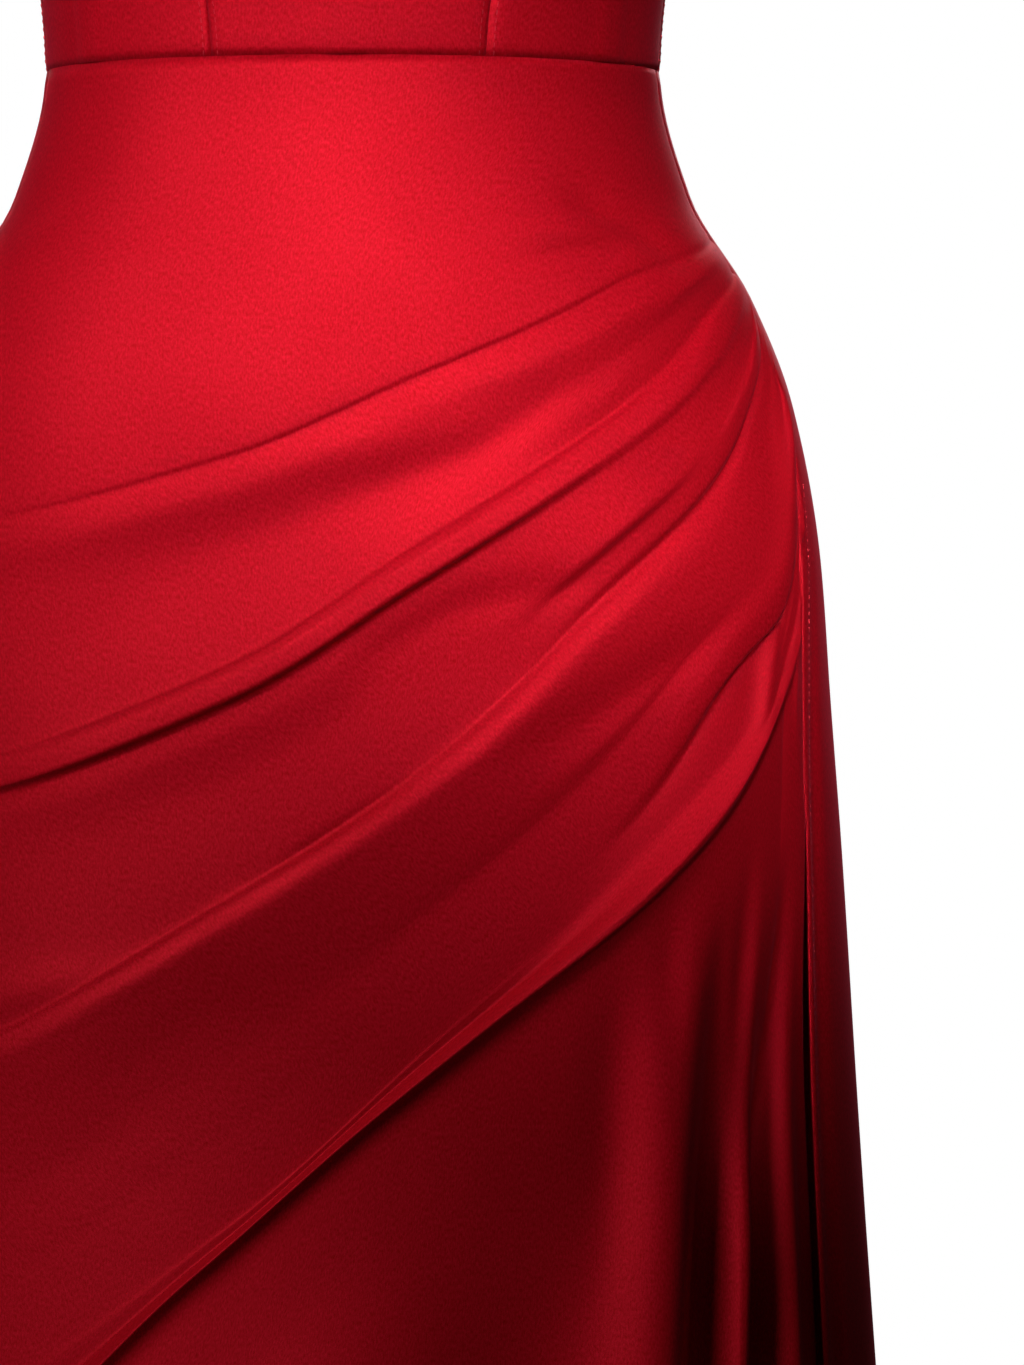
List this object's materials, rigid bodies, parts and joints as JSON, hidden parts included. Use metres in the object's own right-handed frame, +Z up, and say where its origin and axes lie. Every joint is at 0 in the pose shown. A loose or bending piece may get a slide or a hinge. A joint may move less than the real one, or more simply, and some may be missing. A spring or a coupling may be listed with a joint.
{
  "type": "satin corset gown",
  "caption": "Full-length strapless satin gown with a panelled corset bodice, a front draped in pleats from the left hip, a thigh-high left slit and a centre back zip.",
  "frame": {"origin": "middle of the waist opening, at the waist seam", "axes": "+Z up towards the neckline, -Y the gown's front, +X the wearer's left"},
  "size_m": [0.5032, 0.4108, 1.3346],
  "materials": {
    "satin": "smooth red satin, soft sheen",
    "zip_tape": "woven zip tape dyed to match",
    "zip_metal": "lacquered to match the cloth"
  },
  "bodies": {
    "gown": {"skirt_front": "satin", "skirt_back_left": "satin", "skirt_back_right": "satin", "bodice_centre_front": "satin", "bodice_side_front_left": "satin", "bodice_side_front_right": "satin", "bodice_back_left": "satin", "bodice_back_right": "satin", "zip_tape": "zip_tape", "zip_slider": "zip_metal"},
    "zip_pull": {"zip_pull": "zip_metal"}
  },
  "joints": [
    {"name": "zip_pull_hinge", "type": "hinge", "parent": "gown", "child": "zip_pull", "pos_m": [0, 0.09639, 0.108], "axis": [1, 0, 0], "range_deg": [0, 150]}
  ]
}
